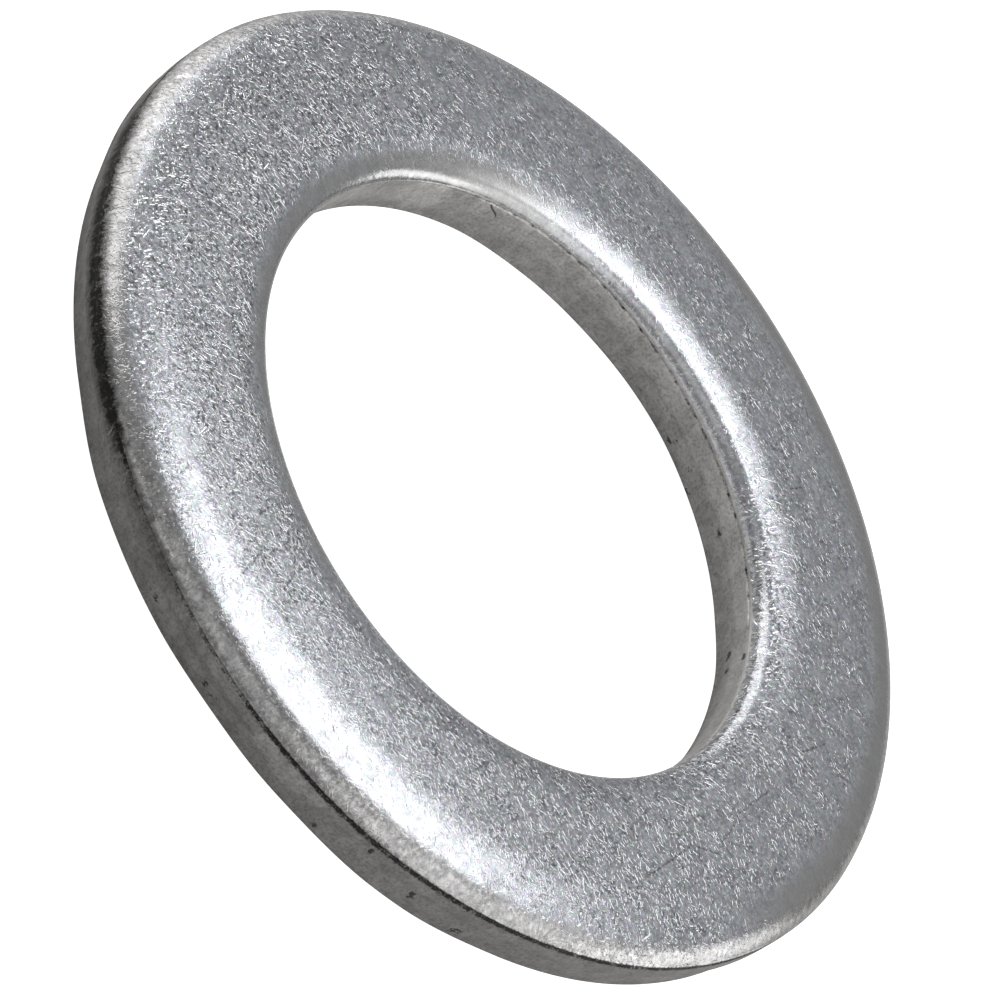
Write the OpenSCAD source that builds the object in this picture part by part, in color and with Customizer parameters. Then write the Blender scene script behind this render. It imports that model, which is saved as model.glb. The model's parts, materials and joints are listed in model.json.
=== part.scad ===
// Flat round washer, punched from steel strip. It lies with its rolled face up.
// Lengths are in millimetres. The origin is the centre of the underside, and +Z runs up the axis of the hole.

/* [Ring] */
// Diameter over the rim
outer_d = 37; // [33:0.5:42]
// Diameter of the hole
bore_d = 23; // [20:0.5:27]
// Thickness of the ring
thick = 3; // [2.4:0.1:4]

/* [Rim edge] */
// Width of the slow fall of the face towards the rim
rim_fall_w = 1.96; // [1.6:0.04:2.4]
// Height of that slow fall
rim_fall_h = 0.28; // [0.16:0.02:0.34]
// Radius of the tight turn from the slow fall into the rim wall
rim_turn_r = 1.3; // [1:0.05:1.6]
// Height of the whole rolled edge, from the face to the seam on the rim wall
rim_roll_h = 1.164; // [0.9:0.002:1.4]
// Height of the straight land on the rim wall
rim_land_h = 0.5; // [0.2:0.05:0.9]
// How far the broken wall below the land leans in at its foot
rim_lean = 0.2; // [0.05:0.01:0.35]

/* [Hole edge] */
// Width of the slow fall of the face towards the hole
bore_fall_w = 1.32; // [1.1:0.04:1.7]
// Height of that slow fall
bore_fall_h = 0.24; // [0.12:0.02:0.28]
// Radius of the tight turn from the slow fall into the hole wall
bore_turn_r = 0.75; // [0.6:0.05:0.95]
// Height of the whole rolled edge, from the face to the seam on the hole wall
bore_roll_h = 0.732; // [0.5:0.002:0.86]
// Height of the straight land on the hole wall
bore_land_h = 1; // [0.5:0.05:1.3]
// How far the broken wall below the land leans out at its foot
bore_lean = 0.12; // [0.05:0.01:0.4]

/* [Seam and underside] */
// Depth of the fine seam where a rolled edge meets its wall
seam_depth = 0.08; // [0.04:0.01:0.12]
// Height of that seam
seam_h = 0.12; // [0.08:0.01:0.16]
// Chamfer on the edges of the underside
under_break = 0.1; // [0.04:0.01:0.16]

/* [Hidden] */
arc_sides = 360;
outer_r = outer_d / 2;
bore_r = bore_d / 2;
rim_roll_w = rim_fall_w + turn_width(rim_fall_w, rim_fall_h, rim_turn_r, rim_roll_h);
bore_roll_w = bore_fall_w + turn_width(bore_fall_w, bore_fall_h, bore_turn_r, bore_roll_h);
flat_middle_r = (bore_r + bore_roll_w + outer_r - rim_roll_w) / 2;
steel = [0.56, 0.57, 0.58];

// The radius of an arc that leaves the level and falls a height over a width
function fall_radius(width, height) = (width * width + height * height) / (2 * height);

// The sine of the slope at the end of such an arc, and the cosine
function fall_sine(width, height) = width / fall_radius(width, height);
function fall_cosine(width, height) = 1 - height / fall_radius(width, height);

// The cosine and sine of the slope at which the tight turn meets its wall
function end_cosine(width, height, turn_r, roll_h) = fall_cosine(width, height) - (roll_h - height) / turn_r;
function end_sine(width, height, turn_r, roll_h) = sqrt(1 - pow(end_cosine(width, height, turn_r, roll_h), 2));

// The width of the tight turn, measured across the ring
function turn_width(width, height, turn_r, roll_h) =
    turn_r * (end_sine(width, height, turn_r, roll_h) - fall_sine(width, height));

// Half of the ring's upper outline, from the end of its flat to the chamfer of the underside.
// Across is the distance in from the wall, and height is above the underside.
function edge_points(width, height, turn_r, roll_h, land_h, lean) =
    let (turn_w = turn_width(width, height, turn_r, roll_h))
    let (seam_top = thick - roll_h)
    [
        [turn_w + width, thick],
        [turn_w, thick - height],
        [0, seam_top],
        [seam_depth, seam_top - seam_h / 2],
        [0, seam_top - seam_h],
        [0, seam_top - seam_h - land_h],
        [lean, under_break],
        [lean + under_break, 0]
    ];

// The rounded sliver between an arc and its chord, on the left of the way from the start to the finish
module bulge(centre, radius, start, finish) {
    chord = finish - start;
    away = radius * [-chord.y, chord.x] / norm(chord);
    intersection() {
        translate(centre)
            circle(r = radius, $fn = arc_sides);
        polygon([start, finish, finish + away, start + away]);
    }
}

// Half of the section: flat edges in a polygon, and the two arcs of the rolled edge bulging from it.
// It is drawn as if the wall stood at zero and the ring ran to the right as far as the reach.
module half_section(width, height, turn_r, roll_h, land_h, lean, reach) {
    points = edge_points(width, height, turn_r, roll_h, land_h, lean);
    fall_r = fall_radius(width, height);
    turn_centre = points[1] + turn_r * [fall_sine(width, height), -fall_cosine(width, height)];
    union() {
        polygon(concat([[reach, thick]], points, [[reach, 0]]));
        bulge([points[0].x, thick - fall_r], fall_r, points[1], points[0]);
        bulge(turn_centre, turn_r, points[2], points[1]);
    }
}

// The whole section of the ring, to the right of its axis
module section() {
    bore_reach = flat_middle_r - bore_r;
    rim_reach = outer_r - flat_middle_r;
    translate([bore_r, 0])
        half_section(bore_fall_w, bore_fall_h, bore_turn_r, bore_roll_h, bore_land_h, bore_lean, bore_reach);
    translate([outer_r, 0])
        mirror([1, 0])
            half_section(rim_fall_w, rim_fall_h, rim_turn_r, rim_roll_h, rim_land_h, rim_lean, rim_reach);
}

// The ring, turned about its axis
module washer() {
    color(steel)
        rotate_extrude($fn = arc_sides)
            section();
}

washer();
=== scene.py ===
"""A flat round steel washer, lying on a pale floor under soft studio light."""

import json
import math

import bpy
from mathutils import Euler, Matrix, Vector, noise


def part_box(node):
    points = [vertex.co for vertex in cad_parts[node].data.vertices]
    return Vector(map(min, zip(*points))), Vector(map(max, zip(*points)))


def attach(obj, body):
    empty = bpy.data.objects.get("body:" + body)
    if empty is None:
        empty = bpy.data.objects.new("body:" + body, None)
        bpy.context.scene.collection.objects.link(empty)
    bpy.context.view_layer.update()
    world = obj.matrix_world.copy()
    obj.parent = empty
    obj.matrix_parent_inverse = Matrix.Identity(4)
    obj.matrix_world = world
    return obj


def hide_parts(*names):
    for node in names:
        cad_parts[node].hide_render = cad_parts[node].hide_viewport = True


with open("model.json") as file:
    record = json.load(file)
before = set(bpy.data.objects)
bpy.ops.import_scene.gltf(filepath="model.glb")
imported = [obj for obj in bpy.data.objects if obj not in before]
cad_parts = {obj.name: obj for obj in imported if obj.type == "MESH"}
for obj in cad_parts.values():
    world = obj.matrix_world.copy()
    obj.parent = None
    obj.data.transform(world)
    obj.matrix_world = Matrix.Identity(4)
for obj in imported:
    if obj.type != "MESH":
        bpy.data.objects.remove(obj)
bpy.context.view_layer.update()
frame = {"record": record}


# The washer is one ring of strip steel, blanked by a punch and a die, then tumbled and zinc plated.
# The punch drew the edges of the upper face down into rolled edges. Below each a fine seam parts it from
# the straight land that the tool cut, and below the land the wall broke away and leans back.
MM = 0.001
low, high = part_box("washer")
outer_r = (high[0] - low[0]) / 2 / MM
thick = (high[2] - low[2]) / MM
bore_mount = next(m for m in frame["record"]["mounts"] if m["name"] == "bore")
bore_r = bore_mount["dims"]["r_mm"]

# The plain sizes are those of the solid, in millimetres. The humps are where this blank came out uneven,
# and where soot, painted shade, a painted dark reflection and painted highlights lie.
# Each gives its middle, how far it stays level and how far it reaches, in degrees, and then its amount.
rim = {
    "wall_r": outer_r,
    "outward": 1,
    "fall_w": 1.96,
    "fall_h": 0.28,
    "turn_r": 1.3,
    "roll_h": 1.164,
    "land_h": 0.5,
    "lean": 0.2,
    "lean_humps": [(172, 12, 24, -0.14), (220, 14, 27, 0.21), (273, 0, 10, 0.08), (301, 2, 15, -0.15)],
    "seam_humps": [(284, 5, 20, 0.03), (335, 12, 45, -0.13)],
    "land_humps": [(265, 8, 18, 0.33), (320, 10, 40, 0.1)],
    "nicks": [(242.4, 0.05), (248.0, 0.04)],
    # Soot in the seam, with painted shade in its crease.
    "soot_reach": 0.15,
    "soot": 0.95,
    "soot_gaps": 0.4,
    "soot_humps": [(262, 9, 18, -0.45)],
    # Painted dark reflection: the land, the seam and the foot of the roll darkened where they would mirror
    # dark surroundings.
    "smut_humps": [(222, 18, 33, 1.0), (252, 5, 16, 0.5)],
    # Painted highlight: a bright line along the lip of the seam, where the lip would catch the light.
    "worn_humps": [(250, 8, 16, 1.0)],
    "worn_above_lip": 0.2,
    "worn_reach": 0.16,
    "closed_humps": [],
}
bore = {
    "wall_r": bore_r,
    "outward": -1,
    "fall_w": 1.32,
    "fall_h": 0.24,
    "turn_r": 0.75,
    "roll_h": 0.732,
    "land_h": 1.0,
    "lean": 0.12,
    "lean_humps": [(115, 6, 24, -0.12), (82, 0, 15, 0.06), (22, 10, 24, 0.13)],
    "seam_humps": [(48, 28, 90, 0.24)],
    "land_humps": [(152, 6, 24, 0.42), (105, 0, 12, -0.1)],
    "nicks": [(18.0, 0.05)],
    # In the hole the seam's darkening is mostly painted shade, laid over the seam's lower flank, which
    # would otherwise show lit.
    "soot_reach": 0.08,
    "soot": 0.4,
    "soot_gaps": 0.8,
    "soot_humps": [(20, 15, 30, -0.5), (165, 20, 32, -0.5)],
    "smut_humps": [],
    # Painted highlight along the lip of the seam.
    "worn_humps": [(25, 14, 26, 1.0)],
    "worn_above_lip": 0.08,
    "worn_reach": 0.2,
    "closed_humps": [(15, 20, 32, 0.8), (170, 25, 38, 0.8)],
}
edges = {"rim": rim, "bore": bore}
seam_depth = 0.08
seam_h = 0.12
under_break = 0.1
lip_ease = 0.035
seam_ease = 0.03
foot_ease = 0.05

around = 768
fall_steps = 7
turn_steps = 13
corner_steps = 2
flat_steps = 6
under_steps = 7
land_steps = 4
broken_steps = 11


def spread(start, finish, steps):
    """Points evenly spread from start towards finish, without the finish itself."""
    points = []
    for step in range(steps):
        share = step / steps
        across = start[0] + (finish[0] - start[0]) * share
        height = start[1] + (finish[1] - start[1]) * share
        points.append((across, height))
    return points


def arc(centre, radius, first_slope, last_slope, steps):
    """Points of an arc that turns from one slope to a steeper one, across and height in millimetres."""
    points = []
    for step in range(steps + 1):
        slope = first_slope + (last_slope - first_slope) * step / steps
        points.append((centre[0] - radius * math.sin(slope), centre[1] + radius * math.cos(slope)))
    return points


def softened(corner, before, after, radius):
    """A sharp corner eased into a few points, as tumbling leaves it."""
    there = Vector(corner)
    back = (Vector(before) - there).normalized() * radius
    onward = (Vector(after) - there).normalized() * radius
    points = []
    for step in range(corner_steps + 1):
        share = step / corner_steps
        point = there + back * (1 - share) ** 2 + onward * share ** 2
        points.append((point.x, point.y))
    return points


def edge_outline(edge):
    """Half of the ring's outline: (part, across, height) from the flat face to the underside.
    Across is the distance in from the wall, and height is above the underside."""
    fall_r = (edge["fall_w"] ** 2 + edge["fall_h"] ** 2) / (2 * edge["fall_h"])
    fall_slope = math.asin(edge["fall_w"] / fall_r)
    end_slope = math.acos(math.cos(fall_slope) - (edge["roll_h"] - edge["fall_h"]) / edge["turn_r"])
    turn_w = edge["turn_r"] * (math.sin(end_slope) - math.sin(fall_slope))
    seam_top = thick - edge["roll_h"]

    fall_centre = (turn_w + edge["fall_w"], thick - fall_r)
    turn_centre = (edge["turn_r"] * math.sin(end_slope), seam_top - edge["turn_r"] * math.cos(end_slope))
    fall = arc(fall_centre, fall_r, 0, fall_slope, fall_steps)
    turn = arc(turn_centre, edge["turn_r"], fall_slope, end_slope, turn_steps)

    lip = (0, seam_top)
    root = (seam_depth, seam_top - seam_h / 2)
    land_top = (0, seam_top - seam_h)
    land_foot = (0, land_top[1] - edge["land_h"])
    wall_foot = (edge["lean"], under_break)
    under_edge = (edge["lean"] + under_break, 0)
    on_underside = (under_edge[0] + 1, 0)

    outline = []
    outline += [("fall", *p) for p in fall[:-1]]
    outline += [("turn", *p) for p in turn[:-1]]
    outline += [("lip", *p) for p in softened(lip, turn[-2], root, lip_ease)]
    outline += [("root", *p) for p in softened(root, lip, land_top, seam_ease)]
    eased_land = softened(land_top, root, land_foot, seam_ease)
    outline += [("land", *p) for p in eased_land]
    outline += [("land", *p) for p in spread(eased_land[-1], land_foot, land_steps)[1:]]
    eased_foot = softened(wall_foot, land_foot, under_edge, foot_ease)
    outline += [("broken", *p) for p in spread(land_foot, eased_foot[0], broken_steps)]
    outline += [("foot", *p) for p in eased_foot]
    outline += [("under", *p) for p in softened(under_edge, wall_foot, on_underside, foot_ease)]
    return outline


def unrolled_radii(outline):
    """The radius that each point of the outline would have if its edge were rolled out flat."""
    radii = [radius for side, part, radius, height in outline]
    for side, step in (("rim", 1), ("bore", -1)):
        rows = [row for row, point in enumerate(outline) if point[0] == side and point[1] != "under"]
        rows = rows[::step]
        for before, row in zip(rows[:-1], rows[1:]):
            across = math.dist(outline[before][2:], outline[row][2:])
            radii[row] = radii[before] + step * across
    return radii


def ring_outline():
    """The whole outline of the ring's section as (side, part, radius, height), once round."""
    outer = [("rim", part, rim["wall_r"] - across, height) for part, across, height in edge_outline(rim)]
    inner = [("bore", part, bore["wall_r"] + across, height) for part, across, height in edge_outline(bore)]
    inner.reverse()
    under = spread(outer[-1][2:], inner[0][2:], under_steps)[1:]
    top = spread(inner[-1][2:], outer[0][2:], flat_steps)[1:]
    return outer + [("", "under", *p) for p in under] + inner + [("", "face", *p) for p in top]


outline = ring_outline()
unrolled = unrolled_radii(outline)


def eased(value, low_end, high_end):
    """A smooth step from 0 to 1 as the value goes from the low end to the high end."""
    share = min(1, max(0, (value - low_end) / (high_end - low_end)))
    return share * share * (3 - 2 * share)


def angle_between(angle, middle):
    """How far an angle is from a middle one, in degrees, either way round."""
    return abs((math.degrees(angle) - middle + 180) % 360 - 180)


def hump(angle, middle, level, reach):
    """A smooth hump on the way round the ring: 1 while level about its middle, and 0 beyond its reach."""
    return 1 - eased(angle_between(angle, middle), level, reach)


def uneven(angle, humps):
    """The sum of several humps in one direction."""
    return sum(amount * hump(angle, middle, level, reach) for middle, level, reach, amount in humps)


hollow_depth = 0.03
hollow_coarse = 0.03
hollow_fine = 0.012
hollow_fade = 0.1


def broken_depth(place):
    """How deep the torn wall is hollowed at a place, in millimetres."""
    coarse = noise.fractal(place * 1.1, 0.8, 2.0, 3)
    fine = noise.noise(Vector((place.x * 4, place.y * 4, place.z * 1.5)))
    return max(0, hollow_depth + hollow_coarse * coarse + hollow_fine * fine)


crown_start_r = 13.6
crown_end_r = 17.6
crown_drop = 0.11
nick_reach = 1.0


def moved(side, part, radius, height, angle):
    """A point of the plain ring, moved to where this blank has it: its face crowned towards the rim, its
    seams and walls uneven, its broken wall hollowed and its lips nicked."""
    crowned = height
    if side == "rim" or part == "face":
        turn_top = thick - rim["fall_h"]
        turn_foot = thick - rim["roll_h"]
        fading = min(1, max(0, (height - turn_foot) / (turn_top - turn_foot)))
        crowned -= crown_drop * eased(radius, crown_start_r, crown_end_r) * fading
    if side == "" or part == "fall":
        return radius, crowned

    edge = edges[side]
    seam_top = thick - edge["roll_h"]
    land_foot = seam_top - seam_h - edge["land_h"]
    drop = uneven(angle, edge["seam_humps"])
    nick = sum(depth * hump(angle, middle, 0, nick_reach) for middle, depth in edge["nicks"])
    if part == "turn":
        down = (thick - edge["fall_h"] - height) / (edge["roll_h"] - edge["fall_h"])
        near_lip = max(0, down) ** 3
        return radius - edge["outward"] * nick * near_lip, crowned - drop * near_lip
    if part in ("lip", "root", "land"):
        up = min(1, max(0, (height - land_foot) / edge["land_h"]))
        closing = (radius - edge["wall_r"]) * uneven(angle, edge["closed_humps"])
        return radius - edge["outward"] * nick * up - closing, height - drop * up
    down = min(1, max(0, (land_foot - height) / land_foot))
    hollow = 0
    if part == "broken":
        place = Vector((radius * math.cos(angle), radius * math.sin(angle), height))
        hollow = broken_depth(place) * eased(down, 0, hollow_fade)
    leaning = uneven(angle, edge["lean_humps"]) * down
    return radius - edge["outward"] * (leaning + hollow), height


scratched_all_round = 0.58
scratched_humps = [(212, 25, 75, 0.54), (312, 10, 60, 0.15)]
scratched_lip_humps = [(25, 25, 50, 0.35)]
scratched_lip_band = (12.0, 13.0)
sheltered_rim_humps = [(48, 45, 70, 0.92)]
sheltered_rim_band = (16.4, 17.5)
polished_rim_humps = [(268, 30, 55, 0.45)]
polished_rim_band = (15.6, 16.9)
sheltered_bore_humps = [(205, 55, 90, 0.85), (105, 25, 55, 0.35)]
sheltered_bore_band = (12.1, 13.1)


def scratch_share(unrolled_radius, angle):
    """How deeply tumbling scratched a place: most on the left of the face, less where it lay sheltered, and
    hardly on the bands beside the rim and the hole that touched nothing."""
    share = scratched_all_round + uneven(angle, scratched_humps)
    share += uneven(angle, scratched_lip_humps) * (1 - eased(unrolled_radius, *scratched_lip_band))
    smooth_rim = uneven(angle, sheltered_rim_humps) * eased(unrolled_radius, *sheltered_rim_band)
    smooth_rim += uneven(angle, polished_rim_humps) * eased(unrolled_radius, *polished_rim_band)
    smooth_bore = uneven(angle, sheltered_bore_humps) * (1 - eased(unrolled_radius, *sheltered_bore_band))
    return share * (1 - smooth_rim) * (1 - smooth_bore)


soot_and_shade_patches_per_mm = 3.2
soot_and_shade_core_share = 0.4
least_soot_and_shade = 0.2


def soot_and_shade_share(side, height, angle):
    """How much the seams are darkened at a place: soot, and painted shade in the seam's crease."""
    if side == "":
        return 0
    edge = edges[side]
    root_height = thick - edge["roll_h"] - seam_h / 2 - uneven(angle, edge["seam_humps"])
    away = abs(height - root_height)
    wall_x = edge["wall_r"] * math.cos(angle)
    wall_y = edge["wall_r"] * math.sin(angle)
    patchy = noise.noise(Vector((wall_x, wall_y, edge["outward"])) * soot_and_shade_patches_per_mm)
    strength = edge["soot"] + edge["soot_gaps"] * patchy + uneven(angle, edge["soot_humps"])
    fading = 1 - eased(away, edge["soot_reach"] * soot_and_shade_core_share, edge["soot_reach"])
    return min(1, max(least_soot_and_shade, strength)) * fading


def dark_reflection_share(side, angle):
    """How much painted dark reflection lies on a wall in one direction, where the land would mirror dark
    surroundings.
    """
    if side == "":
        return 0
    humps = edges[side]["smut_humps"]
    shares = [amount * hump(angle, middle, level, reach) for middle, level, reach, amount in humps]
    return max(shares, default=0)


lip_highlight_core = 0.05


def lip_highlight_share(side, height, angle):
    """How strong the painted highlight is at a place: a thin bright line along the lip of a seam, where the
    lip would catch the light.
    """
    if side == "":
        return 0
    edge = edges[side]
    lip_height = thick - edge["roll_h"] - uneven(angle, edge["seam_humps"])
    away = abs(height - lip_height - edge["worn_above_lip"])
    return uneven(angle, edge["worn_humps"]) * (1 - eased(away, lip_highlight_core, edge["worn_reach"]))


land_blur = 0.12


def land_share(side, height, angle):
    """Whether a place on a wall is on the straight land, which ends along an uneven line."""
    if side == "":
        return 0
    edge = edges[side]
    land_foot = thick - edge["roll_h"] - seam_h - edge["land_h"] - uneven(angle, edge["land_humps"])
    return eased(height, land_foot - land_blur, land_foot + land_blur)


drawn_blur = 0.25


def drawn_share(side, part, height):
    """How far a place lies down a rolled edge, where the tool drew the skin of the steel out."""
    if part != "turn":
        return 1 if part in ("lip", "root") else 0
    edge = edges[side]
    return eased(thick - edge["fall_h"] - height, 0.0, drawn_blur)


vertices = []
point_values = ("unrolled", "scratched", "soot", "smut", "worn", "land", "drawn", "in_bore")
kept = {name: [] for name in point_values}
for turn_step in range(around):
    angle = 2 * math.pi * turn_step / around
    direction = Vector((math.cos(angle), math.sin(angle), 0))
    for (side, part, plain_radius, plain_height), unrolled_radius in zip(outline, unrolled):
        radius, height = moved(side, part, plain_radius, plain_height, angle)
        vertices.append((direction * radius + Vector((0, 0, height))) * MM)
        kept["unrolled"].append(unrolled_radius)
        kept["scratched"].append(scratch_share(unrolled_radius, angle))
        kept["soot"].append(soot_and_shade_share(side, height, angle))
        kept["smut"].append(dark_reflection_share(side, angle))
        kept["worn"].append(lip_highlight_share(side, height, angle))
        kept["land"].append(land_share(side, height, angle))
        kept["drawn"].append(drawn_share(side, part, plain_height))
        kept["in_bore"].append(1 if side == "bore" else 0)

rows = len(outline)
faces = []
face_materials = []
wall_parts = ("lip", "root", "land", "broken", "foot")
zinc_index = 0
steel_index = 1
for turn_step in range(around):
    here = turn_step * rows
    there = (turn_step + 1) % around * rows
    for row in range(rows):
        after = (row + 1) % rows
        faces.append((here + row, here + after, there + after, there + row))
        face_materials.append(steel_index if outline[row][1] in wall_parts else zinc_index)

ring_mesh = bpy.data.meshes.new("washer_ring")
ring_mesh.from_pydata(vertices, [], faces)
ring_mesh.validate()
ring_mesh.polygons.foreach_set("material_index", face_materials)
ring_mesh.polygons.foreach_set("use_smooth", [True] * len(faces))
for attribute_name, values in kept.items():
    attribute = ring_mesh.attributes.new(attribute_name, "FLOAT", "POINT")
    attribute.data.foreach_set("value", values)
ring_mesh.update()
ring = bpy.data.objects.new("washer_ring", ring_mesh)
bpy.context.collection.objects.link(ring)


def wire(tree, source, target):
    """Joins a socket, or sets a plain value, on a node's input."""
    if isinstance(source, bpy.types.NodeSocket):
        tree.links.new(source, target)
    else:
        target.default_value = source


def sum_up(tree, operation, first, second=0.0, third=0.0):
    """A Math node's result."""
    node = tree.nodes.new("ShaderNodeMath")
    node.operation = operation
    wire(tree, first, node.inputs[0])
    wire(tree, second, node.inputs[1])
    wire(tree, third, node.inputs[2])
    return node.outputs[0]


def move(tree, operation, first, second=(0, 0, 0)):
    """A Vector Math node's result that is a vector."""
    node = tree.nodes.new("ShaderNodeVectorMath")
    node.operation = operation
    wire(tree, first, node.inputs[0])
    wire(tree, second, node.inputs[1])
    return node.outputs["Vector"]


def measure(tree, operation, first, second=(0, 0, 0)):
    """A Vector Math node's result that is a number."""
    node = tree.nodes.new("ShaderNodeVectorMath")
    node.operation = operation
    wire(tree, first, node.inputs[0])
    wire(tree, second, node.inputs[1])
    return node.outputs["Value"]


def stretched(tree, vector, share):
    """A vector or a colour made longer or shorter."""
    node = tree.nodes.new("ShaderNodeVectorMath")
    node.operation = "SCALE"
    wire(tree, vector, node.inputs[0])
    wire(tree, share, node.inputs["Scale"])
    return node.outputs["Vector"]


def ramp(tree, value, from_low, from_high, to_low=0.0, to_high=1.0):
    """A value brought smoothly from one range to another."""
    node = tree.nodes.new("ShaderNodeMapRange")
    node.interpolation_type = "SMOOTHSTEP"
    wire(tree, value, node.inputs["Value"])
    wire(tree, from_low, node.inputs["From Min"])
    wire(tree, from_high, node.inputs["From Max"])
    wire(tree, to_low, node.inputs["To Min"])
    wire(tree, to_high, node.inputs["To Max"])
    return node.outputs["Result"]


def cloud(tree, place, scale, detail, roughness=0.5):
    """A Noise node's value."""
    node = tree.nodes.new("ShaderNodeTexNoise")
    wire(tree, place, node.inputs["Vector"])
    node.inputs["Scale"].default_value = scale
    node.inputs["Detail"].default_value = detail
    node.inputs["Roughness"].default_value = roughness
    return node.outputs["Fac"]


def about_zero(tree, value):
    """A noise's value, brought to lie about zero."""
    return sum_up(tree, "SUBTRACT", value, 0.5)


def tint(tree, share, first, second, blend="MIX"):
    """A colour mixed from two by a share. A Mix node takes its colours at 6 and 7, and puts out at 2."""
    node = tree.nodes.new("ShaderNodeMix")
    node.data_type = "RGBA"
    node.blend_type = blend
    wire(tree, share, node.inputs[0])
    wire(tree, first, node.inputs[6])
    wire(tree, second, node.inputs[7])
    return node.outputs[2]


def new_group(name, inputs, outputs):
    """A node group with named sockets, its tree, what it is given and what it puts out."""
    tree = bpy.data.node_groups.new(name, "ShaderNodeTree")
    for label, kind in inputs:
        tree.interface.new_socket(label, in_out="INPUT", socket_type=kind)
    for label, kind in outputs:
        tree.interface.new_socket(label, in_out="OUTPUT", socket_type=kind)
    given = tree.nodes.new("NodeGroupInput").outputs
    result = tree.nodes.new("NodeGroupOutput").inputs
    return tree, given, result


def placed(tree, group, **values):
    """A node that uses a group, with its inputs joined or set by name."""
    node = tree.nodes.new("ShaderNodeGroup")
    node.node_tree = group
    for label, value in values.items():
        wire(tree, value, node.inputs[label.replace("_", " ")])
    return node.outputs


VECTOR = "NodeSocketVector"
NUMBER = "NodeSocketFloat"


def scratch_group():
    """One short scratch in each cell of a random pattern: the tilt of its two flanks, and where it is."""
    numbers = ("Cells per mm", "Half length", "Half width", "Share", "Slope", "Bend", "Heading", "Spread")
    inputs = [("Place", VECTOR)] + [(label, NUMBER) for label in numbers]
    tree, given, result = new_group("tumbling_scratch", inputs, [("Tilt", VECTOR), ("Mark", NUMBER)])

    cells = tree.nodes.new("ShaderNodeTexVoronoi")
    cells.voronoi_dimensions = "2D"
    tree.links.new(given["Place"], cells.inputs["Vector"])
    tree.links.new(given["Cells per mm"], cells.inputs["Scale"])
    draw = tree.nodes.new("ShaderNodeSeparateColor")
    tree.links.new(cells.outputs["Color"], draw.inputs[0])
    first_draw, second_draw, third_draw = draw.outputs[0], draw.outputs[1], draw.outputs[2]

    heading = sum_up(tree, "MULTIPLY_ADD", about_zero(tree, first_draw), given["Spread"], given["Heading"])
    from_middle = move(tree, "SUBTRACT", given["Place"], cells.outputs["Position"])
    turned = tree.nodes.new("ShaderNodeVectorRotate")
    turned.rotation_type = "Z_AXIS"
    tree.links.new(from_middle, turned.inputs["Vector"])
    tree.links.new(heading, turned.inputs["Angle"])
    apart = tree.nodes.new("ShaderNodeSeparateXYZ")
    tree.links.new(turned.outputs[0], apart.inputs[0])
    along = apart.outputs[0]

    bow = sum_up(tree, "MULTIPLY", along, along)
    bow = sum_up(tree, "MULTIPLY", bow, given["Bend"])
    across = sum_up(tree, "ADD", apart.outputs[1], bow)
    sideways = sum_up(tree, "DIVIDE", across, given["Half width"])
    flank = sum_up(tree, "SINE", sum_up(tree, "MULTIPLY", sideways, math.pi))
    inside = sum_up(tree, "LESS_THAN", sum_up(tree, "ABSOLUTE", sideways), 1.0)
    reach = sum_up(tree, "ABSOLUTE", along)
    ending = ramp(tree, reach, given["Half length"], sum_up(tree, "MULTIPLY", given["Half length"], 0.5))
    chosen = sum_up(tree, "LESS_THAN", second_draw, given["Share"])
    depth = ramp(tree, third_draw, 0.0, 1.0, 0.3, 1.0)

    mark = sum_up(tree, "MULTIPLY", inside, ending)
    mark = sum_up(tree, "MULTIPLY", mark, chosen)
    mark = sum_up(tree, "MULTIPLY", mark, depth)
    steep = sum_up(tree, "MULTIPLY", flank, mark)
    steep = sum_up(tree, "MULTIPLY", steep, given["Slope"])
    level = tree.nodes.new("ShaderNodeCombineXYZ")
    tree.links.new(steep, level.inputs["Y"])
    back = tree.nodes.new("ShaderNodeVectorRotate")
    back.rotation_type = "Z_AXIS"
    back.invert = True
    tree.links.new(level.outputs[0], back.inputs["Vector"])
    tree.links.new(heading, back.inputs["Angle"])
    tree.links.new(back.outputs[0], result["Tilt"])
    tree.links.new(mark, result["Mark"])
    return tree


def grain_group():
    """Small random tilts of a surface, as a tumbled or torn surface has between its scratches."""
    inputs = [("Place", VECTOR), ("Grains per mm", NUMBER), ("Slope", NUMBER)]
    tree, given, result = new_group("grain_tilt", inputs, [("Tilt", VECTOR)])
    grains = tree.nodes.new("ShaderNodeTexNoise")
    grains.inputs["Detail"].default_value = 2.0
    grains.inputs["Roughness"].default_value = 0.6
    tree.links.new(given["Place"], grains.inputs["Vector"])
    tree.links.new(given["Grains per mm"], grains.inputs["Scale"])
    centred = move(tree, "SUBTRACT", grains.outputs["Color"], (0.5, 0.5, 0.5))
    tree.links.new(stretched(tree, centred, given["Slope"]), result["Tilt"])
    return tree


def hairline_group():
    """A single thin line from one place to another, as a mask."""
    inputs = [("Place", VECTOR), ("From", VECTOR), ("To", VECTOR), ("Width", NUMBER)]
    tree, given, result = new_group("hairline", inputs, [("Mask", NUMBER)])
    from_start = move(tree, "SUBTRACT", given["Place"], given["From"])
    whole = move(tree, "SUBTRACT", given["To"], given["From"])
    forward = measure(tree, "DOT_PRODUCT", from_start, whole)
    length = measure(tree, "DOT_PRODUCT", whole, whole)
    share = sum_up(tree, "DIVIDE", forward, length)
    share = sum_up(tree, "MINIMUM", sum_up(tree, "MAXIMUM", share, 0.0), 1.0)
    away = measure(tree, "DISTANCE", from_start, stretched(tree, whole, share))
    mask = ramp(tree, away, given["Width"], sum_up(tree, "MULTIPLY", given["Width"], 0.3))
    tree.links.new(mask, result["Mask"])
    return tree


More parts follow.
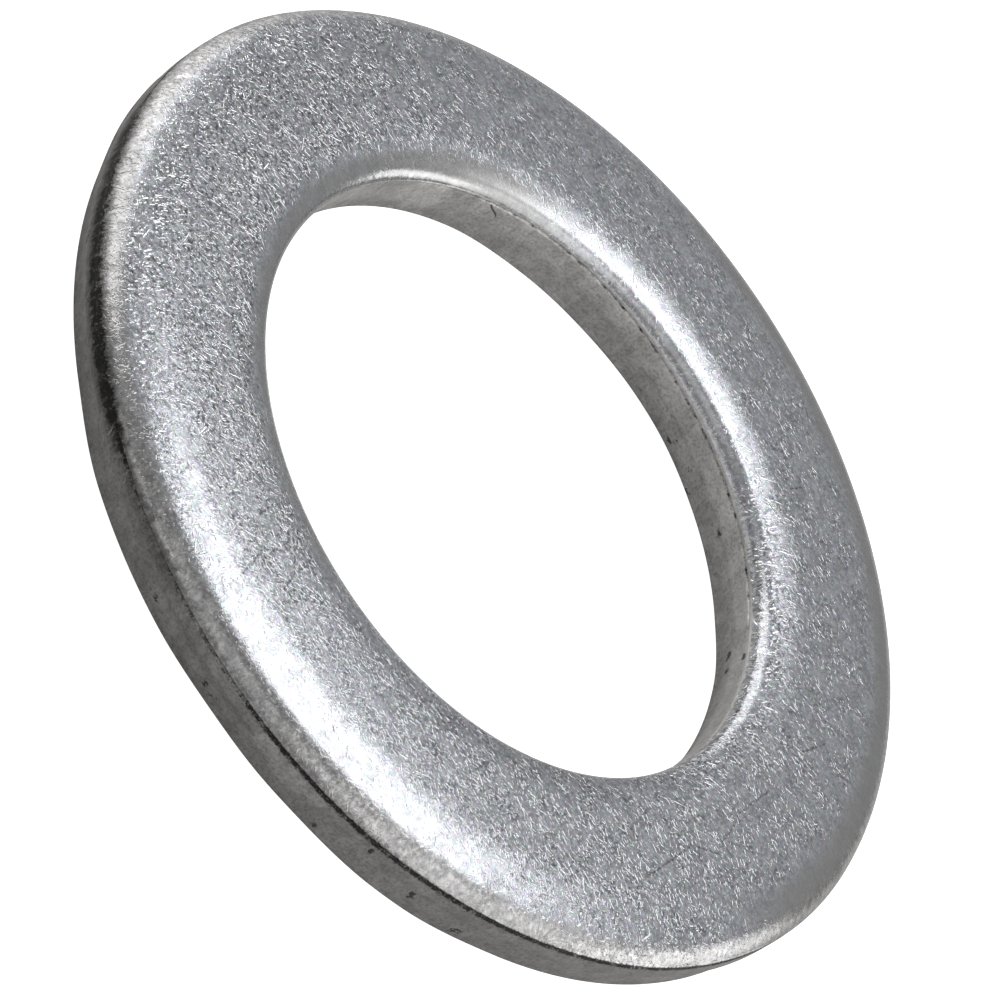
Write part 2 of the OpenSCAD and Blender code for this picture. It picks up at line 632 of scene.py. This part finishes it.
def spot_group():
    """A single spot with a ragged edge, as a mask."""
    inputs = [("Place", VECTOR), ("Centre", VECTOR), ("Radius", NUMBER), ("Ragged", NUMBER)]
    tree, given, result = new_group("ragged_spot", inputs, [("Mask", NUMBER)])
    away = measure(tree, "DISTANCE", given["Place"], given["Centre"])
    away = sum_up(tree, "DIVIDE", away, given["Radius"])
    away = sum_up(tree, "ADD", away, given["Ragged"])
    tree.links.new(ramp(tree, away, 1.0, 0.6), result["Mask"])
    return tree


def wander_group():
    """A place shifted a little at random, so that a line drawn there isn't ruled straight."""
    inputs = [("Place", VECTOR), ("Amount", NUMBER)]
    tree, given, result = new_group("wandering_place", inputs, [("Shifted", VECTOR)])
    drift = tree.nodes.new("ShaderNodeTexNoise")
    drift.inputs["Scale"].default_value = 2.5
    drift.inputs["Detail"].default_value = 2.0
    tree.links.new(given["Place"], drift.inputs["Vector"])
    shift = move(tree, "SUBTRACT", drift.outputs["Color"], (0.5, 0.5, 0.5))
    shift = stretched(tree, shift, given["Amount"])
    tree.links.new(move(tree, "ADD", given["Place"], shift), result["Shifted"])
    return tree


# Heights in millimetres above the underside where the painted dark reflection begins, is full, and ends.
dark_reflection_foot = 1.05
dark_reflection_full_from = 1.68
dark_reflection_full_to = 1.8
dark_reflection_top = 2.32


def soot_and_shade_group():
    """Soot and painted shade in the seams, with grainy edges, and the painted dark reflection, which fades
    away softly, as one mask.
    """
    inputs = [("Place", VECTOR), ("Soot", NUMBER), ("Smut", NUMBER)]
    tree, given, result = new_group("seam_soot", inputs, [("Mask", NUMBER)])
    apart = tree.nodes.new("ShaderNodeSeparateXYZ")
    tree.links.new(given["Place"], apart.inputs[0])
    height = apart.outputs["Z"]
    grit = about_zero(tree, cloud(tree, given["Place"], 11.0, 3.0, 0.7))
    wipes = cloud(tree, move(tree, "MULTIPLY", given["Place"], (4.0, 4.0, 1.8)), 1.0, 3.0, 0.6)
    reflected_dark = sum_up(tree, "MULTIPLY", given["Smut"], ramp(tree, wipes, 0.25, 0.65, 0.7, 1.3))
    reflected_dark = sum_up(tree, "MULTIPLY", reflected_dark, ramp(tree, height, dark_reflection_foot, dark_reflection_full_from))
    reflected_dark = sum_up(tree, "MULTIPLY", reflected_dark, ramp(tree, height, dark_reflection_top, dark_reflection_full_to))
    reflected_dark = sum_up(tree, "MULTIPLY", reflected_dark, sum_up(tree, "MULTIPLY_ADD", grit, 1.6, 1.0))
    in_seam = sum_up(tree, "MULTIPLY_ADD", grit, 2.0, given["Soot"])
    in_seam = ramp(tree, in_seam, 0.2, 0.95)
    mask = sum_up(tree, "MINIMUM", sum_up(tree, "MAXIMUM", in_seam, reflected_dark), 1.0)
    tree.links.new(mask, result["Mask"])
    return tree


scratch_nodes = scratch_group()
grain_nodes = grain_group()
hairline_nodes = hairline_group()
spot_nodes = spot_group()
wander_nodes = wander_group()
soot_and_shade_nodes = soot_and_shade_group()


def new_material(name):
    """A material with its Principled shader, its node tree and the place on the ring in millimetres."""
    material = bpy.data.materials.new(name)
    material.use_nodes = True
    tree = material.node_tree
    shader = next(node for node in tree.nodes if node.type == "BSDF_PRINCIPLED")
    where = tree.nodes.new("ShaderNodeTexCoord").outputs["Object"]
    return material, tree, shader, stretched(tree, where, 1 / MM)


def attribute_value(tree, name):
    """A value that the mesh carries at each of its points."""
    node = tree.nodes.new("ShaderNodeAttribute")
    node.attribute_name = name
    return node.outputs["Fac"]


def directions(tree, place):
    """The ways out from the axis, round the ring and down the section at a place, and the normal there."""
    normal = tree.nodes.new("ShaderNodeNewGeometry").outputs["Normal"]
    outward = move(tree, "NORMALIZE", move(tree, "MULTIPLY", place, (1, 1, 0)))
    onward = move(tree, "CROSS_PRODUCT", (0, 0, 1), outward)
    downward = move(tree, "CROSS_PRODUCT", onward, normal)
    return outward, onward, downward, normal


def laid_on(tree, tilt, outward, onward, downward):
    """A tilt drawn on the flat, laid on the rolled edge that it belongs to."""
    across = stretched(tree, downward, measure(tree, "DOT_PRODUCT", tilt, outward))
    along = stretched(tree, onward, measure(tree, "DOT_PRODUCT", tilt, onward))
    return move(tree, "ADD", across, along)


def added_up(tree, tilts):
    """The sum of several tilts."""
    total = tilts[0]
    for tilt in tilts[1:]:
        total = move(tree, "ADD", total, tilt)
    return total


def tilted_normal(tree, normal, tilts):
    """The surface's own normal, leaned by every tilt."""
    return move(tree, "NORMALIZE", added_up(tree, [normal, *tilts]))


# The black of the soot, of the painted shade in the seams and of the painted dark reflection.
soot_and_shade_black = (0.02, 0.019, 0.018, 1)


def soot_and_shade_mask(tree, place):
    """Where soot, painted shade in the seams and the painted dark reflection lie on the ring."""
    soot = attribute_value(tree, "soot")
    smut = attribute_value(tree, "smut")
    return placed(tree, soot_and_shade_nodes, Place=place, Soot=soot, Smut=smut)["Mask"]


def any_of(tree, masks):
    """The strongest of several masks."""
    strongest = masks[0]
    for mask in masks[1:]:
        strongest = sum_up(tree, "MAXIMUM", strongest, mask)
    return strongest


def lines(tree, place, routes, width):
    """A mask of thin lines, each a route of places joined up."""
    masks = []
    for route in routes:
        for start, finish in zip(route[:-1], route[1:]):
            line = placed(tree, hairline_nodes, Place=place, From=start, To=finish, Width=width)
            masks.append(line["Mask"])
    return any_of(tree, masks)


def on_wall(edge, degrees, height):
    """A place on a wall, from its degrees round the ring and its height."""
    angle = math.radians(degrees)
    return (edge["wall_r"] * math.cos(angle), edge["wall_r"] * math.sin(angle), height)


def spots(tree, place, ragged, edge, marks):
    """A mask of spots on a wall, each given by its degrees round the ring, its height and its radius."""
    masks = []
    for degrees, height, radius in marks:
        centre = on_wall(edge, degrees, height)
        spot = placed(tree, spot_nodes, Place=place, Centre=centre, Radius=radius, Ragged=ragged)
        masks.append(spot["Mask"])
    return any_of(tree, masks)


line_drift = 0.12
dark_hairline_w = 0.065
dark_hairlines = [
    [(-2.14, -16.35, 0), (-2.47, -14.89, 0)],
    [(-2.19, -15.10, 0), (-2.23, -14.22, 0)],
    [(-2.39, -12.71, 0), (-1.68, -13.65, 0), (-1.22, -14.18, 0), (-0.98, -15.03, 0)],
    [(-3.52, -13.97, 0), (-3.56, -13.06, 0)],
    [(5.75, 12.45, 0), (5.9, 13.1, 0)],
]
faint_hairline_w = 0.06
faint_hairlines = [
    [(14.44, -1.75, 0), (14.05, -0.55, 0), (14.03, 1.56, 0)],
    [(13.95, -6.49, 0), (13.96, -3.84, 0), (14.77, -2.80, 0)],
    [(13.62, 4.45, 0), (13.86, 5.9, 0)],
]
bright_hairline_w = 0.045
bright_hairlines = [
    [(-3.01, -13.80, 0), (-2.55, -14.02, 0), (-1.84, -13.86, 0)],
    [(4.26, 12.83, 0), (5.59, 13.06, 0)],
    [(-13.9, -3.6, 0), (-13.1, -4.5, 0)],
]
lip_crack_w = 0.07
lip_cracks = [[on_wall(bore, 17.0, 2.52), on_wall(bore, 18.2, 2.36), on_wall(bore, 19.6, 2.28)]]

zinc_shade = (0.37, 0.383, 0.413, 1)
zinc_light = (0.53, 0.545, 0.58, 1)
untouched_shade = (0.38, 0.38, 0.38, 1)
untouched_light = (0.43, 0.43, 0.43, 1)
burnished_zinc = (0.88, 0.89, 0.91, 1)
drawn_shade = (0.24, 0.233, 0.227, 1)
drawn_light = (0.42, 0.41, 0.4, 1)
bright_line = (0.85, 0.86, 0.87, 1)
dark_line = (0.05, 0.05, 0.055, 1)
# A pale zinc for the painted highlights along the lips.
lip_highlight_zinc = (0.82, 0.81, 0.79, 1)
sheen_share = 0.21
main_heading = math.radians(-23)

# Each layer of scratches gives the offset that sets it apart, its cells to the millimetre, the half length
# and half width of a scratch in millimetres, the share of cells that hold one, its slope, its bend, and how
# widely its heading spreads.
scratch_layers = [
    ((3.1, 7.7, 0), 2.0, 0.22, 0.034, 0.32, 0.80, 0.1, 2.0),
    ((17.3, 2.9, 0), 2.6, 0.18, 0.032, 0.38, 0.80, -0.15, 2.0),
    ((5.9, 23.1, 0), 3.4, 0.14, 0.031, 0.42, 0.80, 0.15, 2.2),
    ((29.7, 13.3, 0), 4.4, 0.11, 0.030, 0.48, 0.80, 0.0, 2.4),
    ((23.3, 37.9, 0), 5.6, 0.08, 0.028, 0.52, 0.80, 0.0, 2.8),
    ((11.9, 47.3, 0), 7.5, 0.055, 0.026, 0.50, 0.75, 0.0, 6.28),
    ((41.1, 31.7, 0), 1.2, 0.42, 0.034, 0.30, 0.75, -0.1, 3.0),
]


def tumbling_scratches(tree, flat_place):
    """All layers of scratches on the unrolled ring: the tilts of their flanks, and where they are."""
    flanks = []
    marks = []
    for offset, cells, half_length, half_width, chance, slope, bend, heading_spread in scratch_layers:
        scratch = placed(
            tree, scratch_nodes, Place=move(tree, "ADD", flat_place, offset), Cells_per_mm=cells,
            Half_length=half_length, Half_width=half_width, Share=chance, Slope=slope, Bend=bend,
            Heading=main_heading, Spread=heading_spread,
        )
        flanks.append(scratch["Tilt"])
        marks.append(scratch["Mark"])
    return added_up(tree, flanks), any_of(tree, marks)


def zinc_grain(tree, flat_place, scratched):
    """The fine and coarse grain between the scratches, calmer where there are few of them."""
    fine_grain = placed(tree, grain_nodes, Place=flat_place, Grains_per_mm=17.0, Slope=0.42)["Tilt"]
    coarse_grain = placed(tree, grain_nodes, Place=flat_place, Grains_per_mm=6.0, Slope=0.30)["Tilt"]
    grains = move(tree, "ADD", fine_grain, coarse_grain)
    return stretched(tree, grains, ramp(tree, scratched, 0.0, 0.9, 0.12, 1.0))


def mottled_zinc(tree, flat_place, patches, scratched):
    """The zinc's own colour: mottled and faintly many-hued where it was tumbled, and even elsewhere."""
    broad = cloud(tree, flat_place, 1.5, 3.0, 0.65)
    worked = ramp(tree, attribute_value(tree, "scratched"), 0.05, 0.5)
    gaps = ramp(tree, scratched, 0.3, 1.0, 0.9, 0.38)
    mottled = tint(tree, ramp(tree, broad, 0.3, 0.7), zinc_shade, zinc_light)
    mottled = stretched(tree, mottled, ramp(tree, patches, 0.34, 0.62, gaps, 1.1))
    sheen = tree.nodes.new("ShaderNodeTexNoise")
    sheen.inputs["Scale"].default_value = 4.5
    sheen.inputs["Detail"].default_value = 3.0
    tree.links.new(flat_place, sheen.inputs["Vector"])
    many_hued = tint(tree, sheen_share, mottled, sheen.outputs["Color"], "OVERLAY")
    plain = tint(tree, ramp(tree, broad, 0.3, 0.7), untouched_shade, untouched_light)
    return tint(tree, worked, plain, many_hued)


def drawn_skin(tree, place, streaks, drawn, colour):
    """The darker, streaky skin of a rolled edge, which is weaker in the hole."""
    skin = tint(tree, ramp(tree, streaks, 0.3, 0.7), drawn_shade, drawn_light)
    skin = stretched(tree, skin, ramp(tree, cloud(tree, place, 3.2, 4.0, 0.65), 0.34, 0.66, 0.68, 1.28))
    skin_share = sum_up(tree, "MULTIPLY_ADD", attribute_value(tree, "in_bore"), -0.45, 0.8)
    return tint(tree, sum_up(tree, "MULTIPLY", drawn, skin_share), colour, skin)


def hairlined(tree, place, flat_place, colour):
    """The single bright and dark hairlines on the face, and the crack in the lip of the hole."""
    crooked = placed(tree, wander_nodes, Place=place, Amount=line_drift)["Shifted"]
    level = move(tree, "MULTIPLY", crooked, (1, 1, 0))
    broken_up = ramp(tree, cloud(tree, flat_place, 8.0, 2.0), 0.36, 0.56)
    bright = sum_up(tree, "MULTIPLY", lines(tree, level, bright_hairlines, bright_hairline_w), broken_up)
    colour = tint(tree, bright, colour, bright_line)
    faint = sum_up(tree, "MULTIPLY", lines(tree, level, faint_hairlines, faint_hairline_w), 0.9)
    dark = sum_up(tree, "MAXIMUM", lines(tree, level, dark_hairlines, dark_hairline_w), faint)
    dark = sum_up(tree, "MULTIPLY", dark, broken_up)
    dark = sum_up(tree, "MAXIMUM", dark, lines(tree, crooked, lip_cracks, lip_crack_w))
    return tint(tree, sum_up(tree, "MULTIPLY", dark, 0.7), colour, dark_line)


def painted_lip_highlight(tree, place, colour):
    """Painted highlights along the lips of the seams, in stretches with grainy ends."""
    grit = about_zero(tree, cloud(tree, place, 11.0, 3.0, 0.7))
    stretches = ramp(tree, cloud(tree, place, 2.6, 2.0), 0.36, 0.56)
    lightened = sum_up(tree, "MULTIPLY", attribute_value(tree, "worn"), stretches)
    lightened = sum_up(tree, "MULTIPLY_ADD", grit, 3.0, lightened)
    return tint(tree, ramp(tree, lightened, 0.35, 1.15, 0.0, 0.8), colour, lip_highlight_zinc)


def tumbled_zinc():
    """The face, rolled edges and underside: satin zinc with the short bright scratches of tumbling."""
    material, tree, shader, place = new_material("tumbled_zinc")
    outward, onward, downward, normal = directions(tree, place)
    flat_place = stretched(tree, outward, attribute_value(tree, "unrolled"))
    patches = cloud(tree, flat_place, 6.0, 3.0, 0.6)
    clusters = ramp(tree, cloud(tree, flat_place, 1.1, 3.0, 0.6), 0.33, 0.67, 0.4, 1.25)
    scratched = sum_up(tree, "MULTIPLY", attribute_value(tree, "scratched"), clusters)
    flanks, marked = tumbling_scratches(tree, flat_place)
    marked = sum_up(tree, "MULTIPLY", marked, scratched)
    soot = soot_and_shade_mask(tree, place)

    tumbled = move(tree, "ADD", stretched(tree, flanks, scratched), zinc_grain(tree, flat_place, scratched))
    tumbled = laid_on(tree, tumbled, outward, onward, downward)
    drawn = attribute_value(tree, "drawn")
    streaks = cloud(tree, move(tree, "MULTIPLY", place, (7.0, 7.0, 0.9)), 1.0, 3.0, 0.65)
    ridges = sum_up(tree, "MULTIPLY", about_zero(tree, streaks), drawn)
    ridges = stretched(tree, onward, sum_up(tree, "MULTIPLY", ridges, 0.35))
    ripples = placed(tree, grain_nodes, Place=place, Grains_per_mm=3.5, Slope=0.14)["Tilt"]
    ripples = stretched(tree, ripples, drawn)
    tree.links.new(tilted_normal(tree, normal, [tumbled, ridges, ripples]), shader.inputs["Normal"])

    colour = mottled_zinc(tree, flat_place, patches, scratched)
    colour = tint(tree, sum_up(tree, "MULTIPLY", marked, 0.85), colour, burnished_zinc)
    colour = drawn_skin(tree, place, streaks, drawn, colour)
    colour = hairlined(tree, place, flat_place, colour)
    colour = painted_lip_highlight(tree, place, colour)
    # Soot, painted seam shade and the painted dark reflection darken the zinc.
    colour = tint(tree, soot, colour, soot_and_shade_black)
    tree.links.new(colour, shader.inputs["Base Color"])

    rough = ramp(tree, patches, 0.3, 0.7, 0.23, 0.29)
    rough = sum_up(tree, "SUBTRACT", rough, sum_up(tree, "MULTIPLY", marked, 0.11))
    rough = sum_up(tree, "ADD", rough, sum_up(tree, "MULTIPLY", soot, 0.2))
    tree.links.new(rough, shader.inputs["Roughness"])
    shader.inputs["Metallic"].default_value = 1.0
    return material


# Each pit or patch of a wall gives its degrees round the ring, its height and its radius.
rim_pits = [
    (217.5, 1.0, 0.22),
    (260.5, 0.62, 0.19),
    (266.0, 0.34, 0.12),
    (270.8, 0.58, 0.24),
    (272.3, 0.5, 0.23),
    (289.5, 0.36, 0.19),
    (295.3, 1.38, 0.13),
    (302.4, 0.95, 0.16),
    (302.6, 0.8, 0.16),
    (309.8, 0.46, 0.27),
]
rim_bright_patches = [(279.6, 1.35, 0.6), (282.6, 1.25, 0.75), (285.0, 1.2, 0.45), (287.2, 1.35, 0.4)]
bore_pits = [
    (31.4, 0.95, 0.2),
    (34.9, 0.97, 0.22),
    (32.0, 1.9, 0.15),
    (60.5, 1.0, 0.17),
    (74.0, 0.64, 0.14),
    (79.7, 0.6, 0.14),
    (80.5, 0.36, 0.2),
    (71.0, 0.1, 0.18),
]
bore_bright_patches = [(152.0, 1.5, 1.3), (150.5, 1.05, 0.9)]
wall_hairline_w = 0.06
wall_hairlines = [
    [on_wall(bore, 138.0, 2.12), on_wall(bore, 135.0, 1.72)],
    [on_wall(bore, 158.0, 1.05), on_wall(bore, 155.5, 0.7)],
]
wiped_streak_w = 0.05
wiped_streaks = [
    [on_wall(rim, 242.2, 1.72), on_wall(rim, 242.7, 1.36)],
    [on_wall(rim, 247.6, 1.66), on_wall(rim, 248.3, 1.4)],
]

# The rim's and the hole's walls are one steel. The rim's copy is darker, as painted shade, and the hole's
# is lighter, as painted light.
rim_torn_shaded_grey = (0.325, 0.316, 0.307, 1)
rim_land_shaded_grey = (0.29, 0.282, 0.274, 1)
bore_torn_lit_grey = (0.41, 0.4, 0.388, 1)
bore_land_lit_grey = (0.43, 0.42, 0.407, 1)
pit_black = (0.03, 0.029, 0.027, 1)
# A pale steel for the painted highlights along the lips and for the wiped streaks.
lip_highlight_and_wiped_steel = (0.62, 0.61, 0.59, 1)


def sheared_steel():
    """The walls of the rim and the hole: matte grey where the steel was cut and torn, with soot and painted
    shade in the seams; the rim's wall is a darker copy of the hole's, as painted shade.
    """
    material, tree, shader, place = new_material("sheared_steel")
    normal = tree.nodes.new("ShaderNodeNewGeometry").outputs["Normal"]
    drawn_out = move(tree, "MULTIPLY", place, (9.0, 9.0, 0.7))
    drag = cloud(tree, drawn_out, 1.0, 4.0, 0.6)
    torn = cloud(tree, place, 3.0, 4.0, 0.6)
    blotches = cloud(tree, place, 1.2, 3.0, 0.6)
    specks = cloud(tree, place, 9.0, 3.0, 0.6)
    drag_tilt = placed(tree, grain_nodes, Place=drawn_out, Grains_per_mm=1.0, Slope=0.12)["Tilt"]
    torn_tilt = placed(tree, grain_nodes, Place=place, Grains_per_mm=3.0, Slope=0.4)["Tilt"]
    fine_tilt = placed(tree, grain_nodes, Place=place, Grains_per_mm=11.0, Slope=0.3)["Tilt"]
    tree.links.new(tilted_normal(tree, normal, [drag_tilt, torn_tilt, fine_tilt]), shader.inputs["Normal"])

    ragged = sum_up(tree, "MULTIPLY", about_zero(tree, torn), 1.2)
    in_bore = attribute_value(tree, "in_bore")
    land = ramp(tree, sum_up(tree, "ADD", attribute_value(tree, "land"), ragged), 0.2, 0.8)
    # Painted shade and light: the same steel, darker on the rim and lighter in the hole.
    shaded_rim_colour = tint(tree, land, rim_torn_shaded_grey, rim_land_shaded_grey)
    lit_bore_colour = tint(tree, land, bore_torn_lit_grey, bore_land_lit_grey)
    colour = tint(tree, in_bore, shaded_rim_colour, lit_bore_colour)
    on_rim = spots(tree, place, ragged, rim, rim_bright_patches)
    patches = sum_up(tree, "MAXIMUM", on_rim, spots(tree, place, ragged, bore, bore_bright_patches))
    colour = stretched(tree, colour, ramp(tree, patches, 0.0, 1.0, 1.0, 1.3))
    colour = stretched(tree, colour, ramp(tree, drag, 0.25, 0.75, 0.93, 1.07))
    colour = stretched(tree, colour, ramp(tree, blotches, 0.3, 0.7, 0.86, 1.14))
    colour = stretched(tree, colour, ramp(tree, specks, 0.25, 0.6, 0.68, 1.1))
    crumbled = about_zero(tree, cloud(tree, place, 7.0, 3.0, 0.65))
    crumbled = sum_up(tree, "MULTIPLY", crumbled, 3.0)
    pits = spots(tree, place, crumbled, rim, rim_pits)
    pits = sum_up(tree, "MAXIMUM", pits, spots(tree, place, crumbled, bore, bore_pits))
    crooked = placed(tree, wander_nodes, Place=place, Amount=line_drift)["Shifted"]
    pits = sum_up(tree, "MAXIMUM", pits, lines(tree, crooked, wall_hairlines, wall_hairline_w))
    colour = tint(tree, sum_up(tree, "MULTIPLY", pits, 0.85), colour, pit_black)
    # Soot, painted seam shade and the painted dark reflection darken the walls.
    colour = tint(tree, soot_and_shade_mask(tree, place), colour, soot_and_shade_black)
    # The painted highlights along the lips, and the wiped streaks, lighten the walls.
    wiped = sum_up(tree, "MULTIPLY", lines(tree, crooked, wiped_streaks, wiped_streak_w), 0.5)
    lightened = sum_up(tree, "MAXIMUM", attribute_value(tree, "worn"), wiped)
    colour = tint(tree, sum_up(tree, "MULTIPLY", lightened, 0.8), colour, lip_highlight_and_wiped_steel)
    tree.links.new(colour, shader.inputs["Base Color"])
    rough = ramp(tree, torn, 0.3, 0.7, 0.42, 0.6)
    tree.links.new(rough, shader.inputs["Roughness"])
    shader.inputs["Metallic"].default_value = 0.9
    return material


ring_mesh.materials.append(tumbled_zinc())
ring_mesh.materials.append(sheared_steel())
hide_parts("washer")
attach(ring, "root")


# The floor is a wide sheet of plain white paper, laid flat, that only carries the washer and is stage.
# The camera sees it as pure white, as an overexposed backdrop is, but it throws back on the ring only as
# much light as pale paper would.
floor_half = 1.5
floor_gap = 0.00001
floor_corners = [(-floor_half, -floor_half, 0), (floor_half, -floor_half, 0)]
floor_corners += [(floor_half, floor_half, 0), (-floor_half, floor_half, 0)]
floor_mesh = bpy.data.meshes.new("paper_floor")
floor_mesh.from_pydata(floor_corners, [], [(0, 1, 2, 3)])
floor = bpy.data.objects.new("paper_floor", floor_mesh)
bpy.context.collection.objects.link(floor)
floor.location.z = -floor_gap
paper_grey = (0.55, 0.55, 0.55, 1)
paper = bpy.data.materials.new("white_paper")
paper.use_nodes = True
paper_shader = next(node for node in paper.node_tree.nodes if node.type == "BSDF_PRINCIPLED")
paper_shader.inputs["Base Color"].default_value = paper_grey
paper_shader.inputs["Roughness"].default_value = 0.9
paper_shader.inputs["Specular IOR Level"].default_value = 0.0
paper_shader.inputs["Emission Color"].default_value = (1, 1, 1, 1)
seen_directly = paper.node_tree.nodes.new("ShaderNodeLightPath").outputs["Is Camera Ray"]
paper.node_tree.links.new(seen_directly, paper_shader.inputs["Emission Strength"])
floor_mesh.materials.append(paper)


# The light is a soft studio's: a softbox overhead and its spill, a pale ceiling, softboxes to the left and
# the right, and a wide fill on the camera's side. The walls are pale all round, and white cards lie on the
# floor to the left of the washer and in its hole.
watts_per_glow = 4


def softbox(name, place, size, glow):
    """A rectangular softbox that faces the ring, with its size across and up and its own glow."""
    light = bpy.data.lights.new(name, "AREA")
    light.shape = "RECTANGLE"
    light.size = size[0]
    light.size_y = size[1]
    light.energy = glow * watts_per_glow * size[0] * size[1]
    lamp = bpy.data.objects.new(name, light)
    lamp.location = place
    lamp.rotation_euler = (-Vector(place)).to_track_quat("-Z", "Y").to_euler()
    lamp.visible_camera = False
    bpy.context.collection.objects.link(lamp)
    return lamp


overhead_turn = (0, 0, math.radians(24))
straight_down = (0, 0, 0)
straight_up = (math.pi, 0, 0)
overhead = softbox("overhead_softbox", place=(0.0225, 0.0275, 0.12), size=(0.084, 0.074), glow=1.65)
overhead.rotation_euler = overhead_turn
overhead_spill = softbox("overhead_spill", place=(-0.012, 0.075, 0.125), size=(0.06, 0.06), glow=1.0)
overhead_spill.rotation_euler = overhead_turn
ceiling = softbox("ceiling_bounce", place=(0.1, 0, 0.13), size=(0.1, 0.15), glow=0.45)
ceiling.rotation_euler = straight_down
softbox("left_softbox", place=(-0.2119, 0.0856, 0.0985), size=(0.267, 0.195), glow=1.55)
softbox("right_softbox", place=(0.2527, -0.087, 0.1362), size=(0.36, 0.242), glow=0.8)
softbox("right_low_softbox", place=(0.2203, 0.1122, 0.062), size=(0.158, 0.12), glow=1.75)
softbox("camera_side_fill", place=(0.09, -0.94, 0.74), size=(1.44, 0.84), glow=0.3)
left_card = softbox("left_card", place=(-0.045, 0.02, 0.0005), size=(0.045, 0.09), glow=0.6)
left_card.rotation_euler = straight_up
hole_card = softbox("hole_card", place=(0, 0, 0.0005), size=(0.013, 0.013), glow=0.5)
hole_card.rotation_euler = straight_up

low_wall_glow = 0.38
high_wall_glow = 0.44
studio = bpy.data.worlds.new("studio")
studio.use_nodes = True
walls = next(node for node in studio.node_tree.nodes if node.type == "BACKGROUND")
upward = studio.node_tree.nodes.new("ShaderNodeSeparateXYZ")
outlook = studio.node_tree.nodes.new("ShaderNodeTexCoord").outputs["Generated"]
studio.node_tree.links.new(outlook, upward.inputs[0])
wall_glow = ramp(studio.node_tree, upward.outputs["Z"], 0.05, 0.6, low_wall_glow, high_wall_glow)
studio.node_tree.links.new(wall_glow, walls.inputs["Strength"])
walls.inputs["Color"].default_value = (1, 1, 1, 1)
bpy.context.scene.world = studio
bpy.context.scene.view_settings.view_transform = "Standard"


# The camera looks down at the washer through a long lens.
# It is held at a slant, so that the ring lies across the frame.
camera_data = bpy.data.cameras.new("camera")
camera_data.sensor_width = 36
camera_data.lens = 306
camera_data.clip_start = 0.01
camera_data.clip_end = 10
camera = bpy.data.objects.new("camera", camera_data)
view_tilt = math.radians(52.87)
view_roll = math.radians(57.20)
view_distance = 15.996 * outer_r * MM
aim_right = 0.00104 * outer_r * MM
aim_up = -0.02696 * outer_r * MM
turned = Euler((view_tilt, 0, 0)).to_matrix() @ Matrix.Rotation(view_roll, 3, "Z")
ring_middle = Vector((0, 0, thick / 2 * MM))
camera.location = ring_middle + turned @ Vector((aim_right, aim_up, view_distance))
camera.rotation_euler = turned.to_euler()
bpy.context.collection.objects.link(camera)
bpy.context.scene.camera = camera
